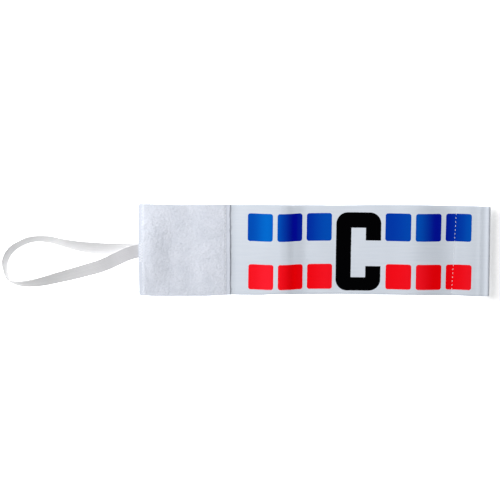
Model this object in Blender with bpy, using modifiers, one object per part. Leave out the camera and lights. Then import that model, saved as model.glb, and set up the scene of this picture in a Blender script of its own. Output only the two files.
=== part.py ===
"""Captain armband, lying flat with its printed side up.

A wide elastic band carries a fleece patch on top of its left end. Its right end is folded under
as a hem, with a hook patch beneath, and slopes up a little. A narrow elastic strap, sewn in
between the band and the fleece, makes a teardrop loop to the left. Metres, +X along the band,
+Z up, the table at z = 0, and the origin under the middle of the band.
"""
import math
from collections import namedtuple

import bmesh
import bpy
from mathutils import Vector

# The wide band
BAND_LENGTH = 0.3286
BAND_WIDTH = 0.0855
BAND_WALL = 0.0012
CORNER_RADIUS = 0.0018
WAVE_HEIGHT = 0.0052

# The hem at the right end
HEM_LENGTH = 0.0365
HEM_GAP = 0.0003
HEM_RISE = 0.030
HEM_LIFT = 0.0030

# The two halves of the fastening
FLEECE_LENGTH = 0.0856
FLEECE_WALL = 0.0016
HOOK_LENGTH = 0.0300
HOOK_MARGIN = 0.0015
HOOK_WALL = 0.0013

# The narrow strap and its teardrop
STRAP_WIDTH = 0.0125
STRAP_WALL = 0.0011
STRAP_TUCK = 0.0100
LOOP_REACH = 0.1250
LOOP_SPREAD = 0.0426
LOOP_RAMP = 0.036
LOOP_FLAT = 0.010

# Fits
SEWN_GAP = 0.0003
TABLE_GAP = 0.0001
TENT_MARGIN = 0.0015
TENT_FALL = 0.0220
TENT_SPREAD = 0.0450

# Fineness of the meshes
STATION = 0.0045
STRAP_STATION = 0.0030
FOLD_SEGMENTS = 8
BAND_SEGMENTS_ACROSS = 6
FLEECE_SEGMENTS_ACROSS = 20
STRAP_SEGMENTS_ACROSS = 4
HOOK_SEGMENTS = 4
CURVE_STEPS = 16
EDGE_ROUNDING = 0.22

# One row for each crest, hollow and level stretch of the band, from its left edge:
# along is a share of BAND_LENGTH, across and width are shares of BAND_WIDTH, and height,
# of the underside over what it lies on, is a share of WAVE_HEIGHT.
BandRow = namedtuple("BandRow", "along across width height")
BAND_ROWS = [
    BandRow(0.000, 0.003, 1.006, 0.00),
    BandRow(0.026, 0.001, 1.012, 0.12),
    BandRow(0.050, -0.003, 1.011, 0.19),
    BandRow(0.110, -0.004, 1.008, 0.36),
    BandRow(0.135, -0.004, 1.008, 0.36),
    BandRow(0.189, -0.003, 1.006, 0.56),
    BandRow(0.222, 0.002, 1.001, 0.66),
    BandRow(0.262, 0.005, 0.992, 0.72),
    BandRow(0.290, 0.003, 0.993, 0.70),
    BandRow(0.340, 0.002, 0.997, 0.67),
    BandRow(0.402, 0.005, 0.984, 0.67),
    BandRow(0.420, 0.004, 0.983, 0.58),
    BandRow(0.443, 0.001, 0.983, 0.29),
    BandRow(0.482, 0.001, 0.985, 0.00),
    BandRow(0.560, 0.001, 0.980, 0.00),
    BandRow(0.616, 0.001, 0.983, 0.10),
    BandRow(0.665, 0.001, 0.992, 0.27),
    BandRow(0.716, 0.001, 0.992, 0.47),
    BandRow(0.799, -0.001, 0.993, 0.85),
    BandRow(0.885, -0.006, 0.987, 0.00),
    BandRow(0.915, -0.008, 0.988, 0.04),
    BandRow(0.948, -0.011, 0.990, 0.10),
    BandRow(1.000, -0.015, 0.978, 0.10),
]

# One row for each turn of the strap, from the band's left edge out along the rear strand, round
# the far end and back along the front strand: along is a share of LOOP_REACH to the left, across
# is a share of LOOP_SPREAD, lean is the strap's tilt in degrees, 0 flat and 90 on edge, and lift,
# above where it would touch the table, is a share of STRAP_WIDTH.
LoopRow = namedtuple("LoopRow", "along across lean lift")
LOOP_ROWS = [
    LoopRow(0.000, 0.010, 0, 0.00),
    LoopRow(0.200, 0.010, 15, 0.00),
    LoopRow(0.350, 0.050, 28, 0.00),
    LoopRow(0.470, 0.100, 40, 0.00),
    LoopRow(0.580, 0.175, 52, 0.00),
    LoopRow(0.660, 0.235, 56, 0.00),
    LoopRow(0.740, 0.255, 60, 0.00),
    LoopRow(0.810, 0.235, 62, 0.00),
    LoopRow(0.880, 0.155, 64, 0.00),
    LoopRow(0.950, 0.020, 64, 0.00),
    LoopRow(0.995, -0.190, 70, 0.00),
    LoopRow(1.000, -0.410, 82, 0.00),
    LoopRow(0.980, -0.620, 92, 0.00),
    LoopRow(0.955, -0.700, 106, 0.00),
    LoopRow(0.865, -0.740, 119, 0.00),
    LoopRow(0.740, -0.700, 134, 0.00),
    LoopRow(0.600, -0.600, 148, 0.06),
    LoopRow(0.430, -0.470, 160, 0.20),
    LoopRow(0.275, -0.335, 168, 0.34),
    LoopRow(0.160, -0.185, 176, 0.24),
    LoopRow(0.085, -0.085, 178, 0.13),
    LoopRow(0.000, -0.020, 180, 0.00),
]

BAND_LEFT = -BAND_LENGTH / 2
HEM_START = BAND_LEFT + BAND_LENGTH - HEM_LENGTH
HEM_STACK = HOOK_WALL + SEWN_GAP + BAND_WALL + HEM_GAP
STRAP_STACK = 2 * (STRAP_WALL + SEWN_GAP)


def ease(share):
    """0 to 1 with level ends."""
    share = min(max(share, 0.0), 1.0)
    return share * share * (3 - 2 * share)


def read_rows(rows, column, at):
    """Read one column of the band's rows smoothly, level at crests, hollows and flat stretches."""
    places = [row.along for row in rows]
    values = [getattr(row, column) for row in rows]
    at = min(max(at, places[0]), places[-1])
    steps = [b - a for a, b in zip(places, places[1:])]
    grades = [(b - a) / step for a, b, step in zip(values, values[1:], steps)]
    slopes = [grades[0]]
    for before, after in zip(grades, grades[1:]):
        slopes.append(2 * before * after / (before + after) if before * after > 0 else 0.0)
    slopes.append(grades[-1])
    i = max(k for k in range(len(steps)) if places[k] <= at)
    t = (at - places[i]) / steps[i]
    bend = t * t * (3 - 2 * t)
    start_pull = slopes[i] * steps[i] * t * (1 - t) ** 2
    end_pull = slopes[i + 1] * steps[i] * t * t * (t - 1)
    return values[i] + (values[i + 1] - values[i]) * bend + start_pull + end_pull


def band_share(x):
    return (x - BAND_LEFT) / BAND_LENGTH


def hem_lift(x):
    """How far the hem and all that is under it is off the table: it slopes up to the right end."""
    return HEM_LIFT * max((x - HEM_START) / HEM_LENGTH, 0.0)


def band_underside(x):
    """Height of the band's upper layer over the table, at its underside."""
    on_hem = ease((x - HEM_START + HEM_RISE) / HEM_RISE)
    wave = WAVE_HEIGHT * read_rows(BAND_ROWS, "height", band_share(x))
    return HEM_STACK * on_hem + hem_lift(x) + wave


def band_middle(x):
    """Where the band's centre line lies across, at x."""
    return BAND_WIDTH * read_rows(BAND_ROWS, "across", band_share(x))


def band_half_width(x):
    """Half the band's width at x, less where its left corners are rounded."""
    half = BAND_WIDTH / 2 * read_rows(BAND_ROWS, "width", band_share(x))
    in_corner = min(max(CORNER_RADIUS - (x - BAND_LEFT), 0.0), CORNER_RADIUS)
    return half - CORNER_RADIUS + math.sqrt(CORNER_RADIUS ** 2 - in_corner ** 2)


def stations(start, end, spacing):
    """Even stations from start to end, with two more in the rounded corner at the start."""
    count = max(2, round((end - start) / spacing))
    even = [start + (end - start) * i / count for i in range(count + 1)]
    corner = [start + CORNER_RADIUS * share for share in (0.12, 0.45)]
    return [even[0]] + corner + even[1:]


def plain_material(name, colour, roughness):
    material = bpy.data.materials.new(name)
    material.use_nodes = True
    shader = material.node_tree.nodes["Principled BSDF"]
    shader.inputs["Base Color"].default_value = (*colour, 1.0)
    shader.inputs["Roughness"].default_value = roughness
    shader.inputs["Metallic"].default_value = 0.0
    return material


def cloth(name, columns, rows, place, wall, material, collection):
    """A sheet of cloth: a grid laid on its middle surface by place(column, side), then a wall."""
    bm = bmesh.new()
    bmesh.ops.create_grid(bm, x_segments=columns, y_segments=rows, size=0.5)
    for vert in bm.verts:
        column = round((vert.co.x + 0.5) * columns)
        side = 2 * vert.co.y
        vert.co = place(column, side)
    mesh = bpy.data.meshes.new(name)
    bm.to_mesh(mesh)
    bm.free()
    mesh.shade_smooth()
    mesh.materials.append(material)
    sheet = bpy.data.objects.new(name, mesh)
    collection.objects.link(sheet)
    solidify = sheet.modifiers.new("Wall", "SOLIDIFY")
    solidify.thickness = wall
    solidify.offset = 0.0
    solidify.use_even_offset = True
    bevel = sheet.modifiers.new("Rounded edges", "BEVEL")
    bevel.width = EDGE_ROUNDING * wall
    bevel.segments = 1
    bevel.limit_method = "ANGLE"
    bevel.angle_limit = math.radians(50)
    return sheet


def band_path():
    """The band's middle line seen from the front: along the top, round the fold, back under."""
    rise = HOOK_WALL + SEWN_GAP + BAND_WALL / 2
    end = BAND_LEFT + BAND_LENGTH
    high = band_underside(end) + BAND_WALL / 2
    low = rise + hem_lift(end)
    radius = (high - low) / 2
    fold_x = end - BAND_WALL / 2 - radius
    top = [(x, band_underside(x) + BAND_WALL / 2) for x in stations(BAND_LEFT, fold_x, STATION)]
    top[-1] = (fold_x, high)
    fold = []
    for i in range(1, FOLD_SEGMENTS):
        angle = math.pi * i / FOLD_SEGMENTS
        fold.append((fold_x + radius * math.sin(angle), low + radius + radius * math.cos(angle)))
    count = max(2, round(HEM_LENGTH / STATION))
    xs = [fold_x + (HEM_START - fold_x) * i / count for i in range(count + 1)]
    under = [(x, rise + hem_lift(x)) for x in xs]
    return top + fold + under


def make_band(material, collection):
    path = band_path()

    def place(column, side):
        x, z = path[column]
        return Vector((x, band_middle(x) + side * band_half_width(x), z))

    return cloth("band", len(path) - 1, BAND_SEGMENTS_ACROSS, place, BAND_WALL, material, collection)


def tent(x, y):
    """How far the fleece is lifted by the strap's two ends under it."""
    beside = abs(y - LOOP_ROWS[0].across * LOOP_SPREAD) - STRAP_WIDTH / 2 - TENT_MARGIN
    beyond = x - BAND_LEFT - STRAP_TUCK - TENT_MARGIN
    return STRAP_STACK * ease(1 - beside / TENT_SPREAD) * ease(1 - beyond / TENT_FALL)


def make_fleece_patch(material, collection):
    xs = stations(BAND_LEFT, BAND_LEFT + FLEECE_LENGTH, STATION)
    rise = BAND_WALL + SEWN_GAP + FLEECE_WALL / 2

    def place(column, side):
        x = xs[column]
        y = band_middle(x) + side * band_half_width(x)
        return Vector((x, y, band_underside(x) + rise + tent(x, y)))

    return cloth(
        "fleece_patch", len(xs) - 1, FLEECE_SEGMENTS_ACROSS, place, FLEECE_WALL, material, collection
    )


def make_hook_patch(material, collection):
    end = BAND_LEFT + BAND_LENGTH - HOOK_MARGIN - BAND_WALL
    xs = [end - HOOK_LENGTH * (1 - i / HOOK_SEGMENTS) for i in range(HOOK_SEGMENTS + 1)]

    def place(column, side):
        x = xs[column]
        half = band_half_width(x) - HOOK_MARGIN
        return Vector((x, band_middle(x) + side * half, HOOK_WALL / 2 + hem_lift(x)))

    return cloth("hook_patch", HOOK_SEGMENTS, HOOK_SEGMENTS, place, HOOK_WALL, material, collection)


def curve_through(points, spacing):
    """Places on a smooth curve through the points, evenly spaced along it.

    Each place is a list of the same numbers that a point has, the first two being x and y.
    """
    fine = []
    for i in range(len(points) - 1):
        p0, p1, p2, p3 = (points[min(max(i + k, 0), len(points) - 1)] for k in (-1, 0, 1, 2))
        for k in range(CURVE_STEPS):
            t = k / CURVE_STEPS
            fine.append([
                0.5 * (2 * b + (c - a) * t + (2 * a - 5 * b + 4 * c - d) * t ** 2
                       + (3 * b - a - 3 * c + d) * t ** 3)
                for a, b, c, d in zip(p0, p1, p2, p3)
            ])
    fine.append(list(points[-1]))
    walked = [0.0]
    for a, b in zip(fine, fine[1:]):
        walked.append(walked[-1] + math.hypot(b[0] - a[0], b[1] - a[1]))
    count = round(walked[-1] / spacing)
    even = []
    k = 0
    for i in range(count + 1):
        along = walked[-1] * i / count
        while k < len(walked) - 2 and walked[k + 1] < along:
            k += 1
        t = (along - walked[k]) / (walked[k + 1] - walked[k])
        even.append([a + (b - a) * t for a, b in zip(fine[k], fine[k + 1])])
    return even


def strap_places():
    """Centre, width direction and layer of the strap at each station, from end to end."""
    rows = [LOOP_ROWS[0]._replace(along=-STRAP_TUCK / LOOP_REACH)]
    rows += LOOP_ROWS
    rows.append(LOOP_ROWS[-1]._replace(along=-STRAP_TUCK / LOOP_REACH))
    points = [
        (BAND_LEFT - row.along * LOOP_REACH, row.across * LOOP_SPREAD, row.lean, row.lift * STRAP_WIDTH)
        for row in rows
    ]
    even = curve_through(points, STRAP_STATION)
    places = []
    for i, (x, y, lean, lift) in enumerate(even):
        before = even[max(i - 1, 0)]
        after = even[min(i + 1, len(even) - 1)]
        heading = Vector((after[0] - before[0], after[1] - before[1], 0.0)).normalized()
        outward = heading.cross(Vector((0.0, 0.0, 1.0)))
        layer = 0 if i < len(even) / 2 else 1
        flat = 180 * layer
        lift = max(lift, 0.0)
        angle = math.radians(flat + (lean - flat) * ease((BAND_LEFT - x) / LOOP_FLAT))
        width = outward * math.cos(angle) + Vector((0.0, 0.0, math.sin(angle)))
        free = STRAP_WIDTH / 2 * abs(math.sin(angle)) + STRAP_WALL / 2 * abs(math.cos(angle))
        free += TABLE_GAP + lift
        sewn = band_underside(x) + BAND_WALL + SEWN_GAP + STRAP_WALL / 2
        sewn += layer * (STRAP_WALL + SEWN_GAP)
        out = ease((BAND_LEFT - x) / LOOP_RAMP)
        hump = lift * (1 - out)
        places.append((Vector((x, y, sewn + (free - sewn) * out + hump)), width))
    return places


def make_elastic_loop(material, collection):
    places = strap_places()

    def place(column, side):
        centre, width = places[column]
        return centre + width * (side * STRAP_WIDTH / 2)

    return cloth(
        "elastic_loop", len(places) - 1, STRAP_SEGMENTS_ACROSS, place, STRAP_WALL, material, collection
    )


def main():
    for old in list(bpy.data.objects):
        bpy.data.objects.remove(old)
    collection = bpy.data.collections.new("captain_armband")
    bpy.context.scene.collection.children.link(collection)
    make_band(plain_material("knitted elastic", (0.63, 0.66, 0.74), 0.75), collection)
    make_fleece_patch(plain_material("loop fleece", (0.60, 0.63, 0.71), 0.95), collection)
    make_hook_patch(plain_material("hook tape", (0.70, 0.72, 0.76), 0.55), collection)
    make_elastic_loop(plain_material("braided elastic", (0.72, 0.72, 0.72), 0.70), collection)


main()
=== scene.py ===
# %% [markdown]
# # A captain armband, laid flat
#
# A captain's armband is a strip of wide knitted elastic that closes round the upper arm with hook
# and loop. This one lies on a table with its print up. On its left end sits the loop half of the
# fastening, a soft fleece. Its right end is folded under as a hem, with the hook half beneath. A
# narrow strap, folded into a teardrop, is sewn in under the fleece to pull the armband tight with
# a finger.
#
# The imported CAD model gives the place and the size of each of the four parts. This lesson makes
# the cloth that one sees: finer sheets on the same curves, the print, the pile, the ribs and the
# stitches.

# %% The tools and the frame
import math
import random
from collections import namedtuple

import bmesh
import bpy
from mathutils import Matrix, Vector, noise


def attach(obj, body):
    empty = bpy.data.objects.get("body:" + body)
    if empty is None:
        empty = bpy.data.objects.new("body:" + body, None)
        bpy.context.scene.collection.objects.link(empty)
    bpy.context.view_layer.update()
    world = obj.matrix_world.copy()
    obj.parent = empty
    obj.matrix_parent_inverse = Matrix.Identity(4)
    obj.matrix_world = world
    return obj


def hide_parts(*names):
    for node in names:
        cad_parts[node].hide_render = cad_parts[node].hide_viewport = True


MM = 0.001
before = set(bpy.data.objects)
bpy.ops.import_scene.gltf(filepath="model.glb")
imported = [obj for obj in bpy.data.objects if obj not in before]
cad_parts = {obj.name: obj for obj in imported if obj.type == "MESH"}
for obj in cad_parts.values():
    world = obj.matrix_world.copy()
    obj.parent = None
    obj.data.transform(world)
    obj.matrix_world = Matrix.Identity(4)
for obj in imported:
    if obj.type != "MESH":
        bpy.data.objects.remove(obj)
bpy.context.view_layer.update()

# %% [markdown]
# ## The camera
#
# The photograph looks almost straight down, from about 1.2 m, with the whole strip in its width. A
# long lens keeps the strip's edges parallel. The camera leans five degrees towards the strip's
# rear edge, and its aim is a point on the table, so that the frame can be matched by moving one
# number.

# %% The camera over the table
CAMERA_DISTANCE = 1.2
CAMERA_LEAN = math.radians(5)
CAMERA_AIM = Vector((-60.0 * MM, -0.33 * MM, 0.0))
FRAME_WIDTH = 470 * MM
SENSOR = 36.0

camera = bpy.data.objects.new("camera", bpy.data.cameras.new("camera"))
bpy.context.scene.collection.objects.link(camera)
camera.data.sensor_width = SENSOR
camera.data.lens = SENSOR * CAMERA_DISTANCE / FRAME_WIDTH
camera_side = Vector((0, math.sin(CAMERA_LEAN), math.cos(CAMERA_LEAN)))
camera.location = CAMERA_AIM + CAMERA_DISTANCE * camera_side
camera.rotation_euler = (-CAMERA_LEAN, 0, 0)
bpy.context.scene.camera = camera
print("lens, mm:", round(camera.data.lens, 1))

# %% [markdown]
# ## Colours, nodes and meshes
#
# Colours are written as sRGB hex values, as a designer would pick them, and one function turns
# them into the linear values that a shader wants. One more function adds a node with its settings
# and its links, and a third makes a material. A Mix node has sockets for each kind of value, and
# those for colours are known by number. Every piece starts as a bmesh, and a fourth function turns
# that into an object.

# %% Helpers for materials
MIX_A, MIX_B, MIX_RESULT = 6, 7, 2
SHEEN_ROUGHNESS = 0.4


def linear(hex_colour):
    """An sRGB hex colour as linear RGBA."""
    channels = [int(hex_colour[i:i + 2], 16) / 255 for i in (1, 3, 5)]
    return (*[c / 12.92 if c <= 0.04045 else ((c + 0.055) / 1.055) ** 2.4 for c in channels], 1.0)


def add(material, kind, values=None, feeds=None, **settings):
    """Add a node: values are set on its sockets, feeds are outputs linked to them."""
    tree = material.node_tree
    node = tree.nodes.new(kind)
    for name, value in settings.items():
        setattr(node, name, value)
    for socket, value in (values or {}).items():
        node.inputs[socket].default_value = value
    for socket, source in (feeds or {}).items():
        tree.links.new(source, node.inputs[socket])
    return node


def new_material(name, colour, roughness, sheen=0.0, specular=0.5):
    """A material with its one shader, and the values that are the same all over it."""
    material = bpy.data.materials.new(name)
    material.use_nodes = True
    shader = material.node_tree.nodes["Principled BSDF"]
    shader.inputs["Base Color"].default_value = linear(colour)
    shader.inputs["Roughness"].default_value = roughness
    shader.inputs["Specular IOR Level"].default_value = specular
    shader.inputs["Sheen Weight"].default_value = sheen
    shader.inputs["Sheen Roughness"].default_value = SHEEN_ROUGHNESS
    return material, shader


# %% A finished bmesh becomes an object
def object_from(bm, name, materials):
    """Put the bmesh in the scene as an object of that name, with its materials."""
    mesh = bpy.data.meshes.new(name)
    bm.to_mesh(mesh)
    bm.free()
    for material in materials:
        mesh.materials.append(material)
    made = bpy.data.objects.new(name, mesh)
    bpy.context.scene.collection.objects.link(made)
    return made


# %% [markdown]
# ## The light and the table
#
# The photograph has a white ground, a soft light from the left and the rear, low enough to shade
# every wave of the strip, and a short shadow at the right end. A light table gives such a ground:
# white acrylic, lit from below. One of its lamps, just past the strip's right end, is weak, so the
# strip still shades the table there, while the glow drowns the strap's shadow. The softbox stands
# near, so its light falls off along the strip, from the left and rear to the right and front. The
# room is plain and pale.

# %% The light table
TABLE_GAP = 0.0001
TABLE_HALF = 6.0
GLOW_FULL, GLOW_WEAK = 1.25, 0.40
WEAK_LAMP_X = 0.200
WEAK_REACH, FULL_FROM = 0.030, 0.072
LAMP_STRETCH = 2.0

acrylic, acrylic_shader = new_material("frosted white acrylic", "#F5F5F5", roughness=0.7)
acrylic_shader.inputs["Emission Color"].default_value = linear("#FFFFFF")
table_place = add(acrylic, "ShaderNodeTexCoord").outputs["Object"]
from_lamp = add(
    acrylic, "ShaderNodeVectorMath", {1: (1, 1 / LAMP_STRETCH, 0), 2: (-WEAK_LAMP_X, 0, 0)},
    {0: table_place}, operation="MULTIPLY_ADD",
).outputs[0]
lamp_distance = add(acrylic, "ShaderNodeVectorMath", feeds={0: from_lamp}, operation="LENGTH")
glow = add(
    acrylic, "ShaderNodeMapRange",
    {"From Min": WEAK_REACH, "From Max": FULL_FROM, "To Min": GLOW_WEAK, "To Max": GLOW_FULL},
    {"Value": lamp_distance.outputs["Value"]}, interpolation_type="SMOOTHSTEP",
)
acrylic.node_tree.links.new(glow.outputs["Result"], acrylic_shader.inputs["Emission Strength"])
bm = bmesh.new()
bmesh.ops.create_grid(bm, x_segments=1, y_segments=1, size=TABLE_HALF)
bmesh.ops.translate(bm, verts=bm.verts, vec=(0, 0, -TABLE_GAP))
table = object_from(bm, "light_table", [acrylic])
print("table, m:", 2 * TABLE_HALF)

# %% The softbox and the room
KEY_PLACE = Vector((-0.80, 0.45, 0.61))
KEY_SIZE = 1.00
KEY_POWER = 20.4
ROOM_STRENGTH = 0.24

softbox = bpy.data.objects.new("softbox", bpy.data.lights.new("softbox", "AREA"))
bpy.context.scene.collection.objects.link(softbox)
softbox.data.energy = KEY_POWER
softbox.data.size = KEY_SIZE
softbox.location = KEY_PLACE
softbox.rotation_euler = KEY_PLACE.to_track_quat("Z", "Y").to_euler()

room = bpy.data.worlds.new("room")
room.use_nodes = True
bpy.context.scene.world = room
walls = room.node_tree.nodes["Background"]
walls.inputs["Color"].default_value = linear("#FFFFFF")
seen = add(room, "ShaderNodeLightPath")
wall_strength = add(
    room, "ShaderNodeMapRange", {"To Min": ROOM_STRENGTH, "To Max": 1.0},
    {"Value": seen.outputs["Is Camera Ray"]},
)
room.node_tree.links.new(wall_strength.outputs["Result"], walls.inputs["Strength"])
bpy.context.scene.view_settings.view_transform = "Standard"
print("softbox, m from the strip's middle:", round(KEY_PLACE.length, 2))

# %% [markdown]
# ## The sizes that the CAD model has
#
# The sheets have to lie on the CAD solids' curves, so their sizes and the tables of crests and
# hollows are the same as in the part's source. Only the meshes are finer.

# %% Sizes of the band, the patches and the strap
BAND_LENGTH = 0.3286
BAND_WIDTH = 0.0855
BAND_WALL = 0.0012
CORNER_RADIUS = 0.0018
WAVE_HEIGHT = 0.0052
HEM_LENGTH = 0.0365
HEM_GAP = 0.0003
HEM_RISE = 0.030
HEM_LIFT = 0.0030
FLEECE_LENGTH = 0.0856
HOOK_LENGTH = 0.0300
HOOK_MARGIN = 0.0015
HOOK_WALL = 0.0013
STRAP_WIDTH = 0.0125
STRAP_WALL = 0.0011
STRAP_TUCK = 0.0100
LOOP_REACH = 0.1250
LOOP_SPREAD = 0.0426
LOOP_RAMP = 0.036
LOOP_FLAT = 0.010
SEWN_GAP = 0.0003
TENT_MARGIN = 0.0015
TENT_FALL = 0.0220
TENT_SPREAD = 0.0450
BAND_LEFT = -BAND_LENGTH / 2
BAND_RIGHT = BAND_LENGTH / 2
HEM_START = BAND_RIGHT - HEM_LENGTH
HEM_STACK = HOOK_WALL + SEWN_GAP + BAND_WALL + HEM_GAP
STRAP_STACK = 2 * (STRAP_WALL + SEWN_GAP)
print("strap's two ends under the fleece, mm:", round(STRAP_STACK / MM, 2))

# %% The band's crests and hollows, and the strap's turns
BandRow = namedtuple("BandRow", "along across width height")
BAND_ROWS = [
    BandRow(0.000, 0.003, 1.006, 0.00),
    BandRow(0.026, 0.001, 1.012, 0.12),
    BandRow(0.050, -0.003, 1.011, 0.19),
    BandRow(0.110, -0.004, 1.008, 0.36),
    BandRow(0.135, -0.004, 1.008, 0.36),
    BandRow(0.189, -0.003, 1.006, 0.56),
    BandRow(0.222, 0.002, 1.001, 0.66),
    BandRow(0.262, 0.005, 0.992, 0.72),
    BandRow(0.290, 0.003, 0.993, 0.70),
    BandRow(0.340, 0.002, 0.997, 0.67),
    BandRow(0.402, 0.005, 0.984, 0.67),
    BandRow(0.420, 0.004, 0.983, 0.58),
    BandRow(0.443, 0.001, 0.983, 0.29),
    BandRow(0.482, 0.001, 0.985, 0.00),
    BandRow(0.560, 0.001, 0.980, 0.00),
    BandRow(0.616, 0.001, 0.983, 0.10),
    BandRow(0.665, 0.001, 0.992, 0.27),
    BandRow(0.716, 0.001, 0.992, 0.47),
    BandRow(0.799, -0.001, 0.993, 0.85),
    BandRow(0.885, -0.006, 0.987, 0.00),
    BandRow(0.915, -0.008, 0.988, 0.04),
    BandRow(0.948, -0.011, 0.990, 0.10),
    BandRow(1.000, -0.015, 0.978, 0.10),
]
LoopRow = namedtuple("LoopRow", "along across lean lift")
LOOP_ROWS = [
    LoopRow(0.000, 0.010, 0, 0.00),
    LoopRow(0.200, 0.010, 15, 0.00),
    LoopRow(0.350, 0.050, 28, 0.00),
    LoopRow(0.470, 0.100, 40, 0.00),
    LoopRow(0.580, 0.175, 52, 0.00),
    LoopRow(0.660, 0.235, 56, 0.00),
    LoopRow(0.740, 0.255, 60, 0.00),
    LoopRow(0.810, 0.235, 62, 0.00),
    LoopRow(0.880, 0.155, 64, 0.00),
    LoopRow(0.950, 0.020, 64, 0.00),
    LoopRow(0.995, -0.190, 70, 0.00),
    LoopRow(1.000, -0.410, 82, 0.00),
    LoopRow(0.980, -0.620, 92, 0.00),
    LoopRow(0.955, -0.700, 106, 0.00),
    LoopRow(0.865, -0.740, 119, 0.00),
    LoopRow(0.740, -0.700, 134, 0.00),
    LoopRow(0.600, -0.600, 148, 0.06),
    LoopRow(0.430, -0.470, 160, 0.20),
    LoopRow(0.275, -0.335, 168, 0.34),
    LoopRow(0.160, -0.185, 176, 0.24),
    LoopRow(0.085, -0.085, 178, 0.13),
    LoopRow(0.000, -0.020, 180, 0.00),
]
print("band rows:", len(BAND_ROWS), "strap rows:", len(LOOP_ROWS))


# %% Reading the band's rows
def ease(share):
    """0 to 1 with level ends."""
    share = min(max(share, 0.0), 1.0)
    return share * share * (3 - 2 * share)


def read_rows(rows, column, at):
    """Read one column of the rows smoothly, level at crests, hollows and flat stretches."""
    places = [row.along for row in rows]
    values = [getattr(row, column) for row in rows]
    at = min(max(at, places[0]), places[-1])
    steps = [b - a for a, b in zip(places, places[1:])]
    grades = [(b - a) / step for a, b, step in zip(values, values[1:], steps)]
    slopes = [grades[0]]
    for before, after in zip(grades, grades[1:]):
        slopes.append(2 * before * after / (before + after) if before * after > 0 else 0.0)
    slopes.append(grades[-1])
    i = max(k for k in range(len(steps)) if places[k] <= at)
    t = (at - places[i]) / steps[i]
    bend = t * t * (3 - 2 * t)
    start_pull = slopes[i] * steps[i] * t * (1 - t) ** 2
    end_pull = slopes[i + 1] * steps[i] * t * t * (t - 1)
    return values[i] + (values[i + 1] - values[i]) * bend + start_pull + end_pull


def band_share(x):
    return (x - BAND_LEFT) / BAND_LENGTH


def hem_lift(x):
    """How far the hem and all that is under it is off the table: it slopes up to the right end."""
    return HEM_LIFT * max((x - HEM_START) / HEM_LENGTH, 0.0)


def band_underside(x):
    """Height of the band's upper layer over the table, at its underside."""
    on_hem = ease((x - HEM_START + HEM_RISE) / HEM_RISE)
    wave = WAVE_HEIGHT * read_rows(BAND_ROWS, "height", band_share(x))
    return HEM_STACK * on_hem + hem_lift(x) + wave


def band_middle(x):
    return BAND_WIDTH * read_rows(BAND_ROWS, "across", band_share(x))


def band_half_width(x):
    """Half the band's width at x, less where its left corners are rounded."""
    half = BAND_WIDTH / 2 * read_rows(BAND_ROWS, "width", band_share(x))
    in_corner = min(max(CORNER_RADIUS - (x - BAND_LEFT), 0.0), CORNER_RADIUS)
    return half - CORNER_RADIUS + math.sqrt(CORNER_RADIUS ** 2 - in_corner ** 2)


def tent(x, y):
    """How far the fleece is lifted by the strap's two ends under it."""
    beside = abs(y - LOOP_ROWS[0].across * LOOP_SPREAD) - STRAP_WIDTH / 2 - TENT_MARGIN
    beyond = x - BAND_LEFT - STRAP_TUCK - TENT_MARGIN
    return STRAP_STACK * ease(1 - beside / TENT_SPREAD) * ease(1 - beyond / TENT_FALL)


eighths = [BAND_LEFT + BAND_LENGTH * i / 8 for i in range(9)]
print("band's underside, mm:", [round(band_underside(x) / MM, 2) for x in eighths])

# %% [markdown]
# ## Making a sheet of cloth
#
# Cloth is one surface with a wall. Every sheet here starts as a bmesh grid, whose points are laid
# on the cloth's surface by a function of their column and their side. Each point also gets its
# place on the flat, uncurved cloth as a UV map in metres, so that a print or a rib follows the
# cloth over its waves. A Solidify modifier gives the wall, thinner where a vertex group says so,
# and a Bevel rounds the cut edges.


# %% The sheet function
CUT_EDGE_ANGLE = math.radians(50)


def sheet_of_cloth(name, columns, rows, place, wall, materials, offset=0.0, rounding=0.3):
    """A grid laid by place(column, side): a point, its flat place and its share of the wall."""
    bm = bmesh.new()
    bmesh.ops.create_grid(bm, x_segments=columns, y_segments=rows, size=0.5)
    shares = bm.verts.layers.deform.verify()
    flat_places = {}
    for vert in bm.verts:
        column = round((vert.co.x + 0.5) * columns)
        vert.co, flat_places[vert], share = place(column, 2 * vert.co.y)
        vert[shares][0] = share
    cloth_map = bm.loops.layers.uv.new("flat cloth")
    for face in bm.faces:
        for corner in face.loops:
            corner[cloth_map].uv = flat_places[corner.vert]
    sheet = object_from(bm, name, materials)
    sheet.data.shade_smooth()
    sheet.vertex_groups.new(name="wall share")
    solidify = sheet.modifiers.new("Wall", "SOLIDIFY")
    solidify.thickness = wall
    solidify.offset = offset
    solidify.use_even_offset = True
    solidify.vertex_group = "wall share"
    solidify.material_offset = len(materials) - 1
    solidify.material_offset_rim = len(materials) - 1
    bevel = sheet.modifiers.new("Rounded edges", "BEVEL")
    bevel.width = rounding * wall
    bevel.segments = 2
    bevel.limit_method = "ANGLE"
    bevel.angle_limit = CUT_EDGE_ANGLE
    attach(sheet, "root")
    print(name, "points:", len(sheet.data.vertices))
    return sheet
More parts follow.
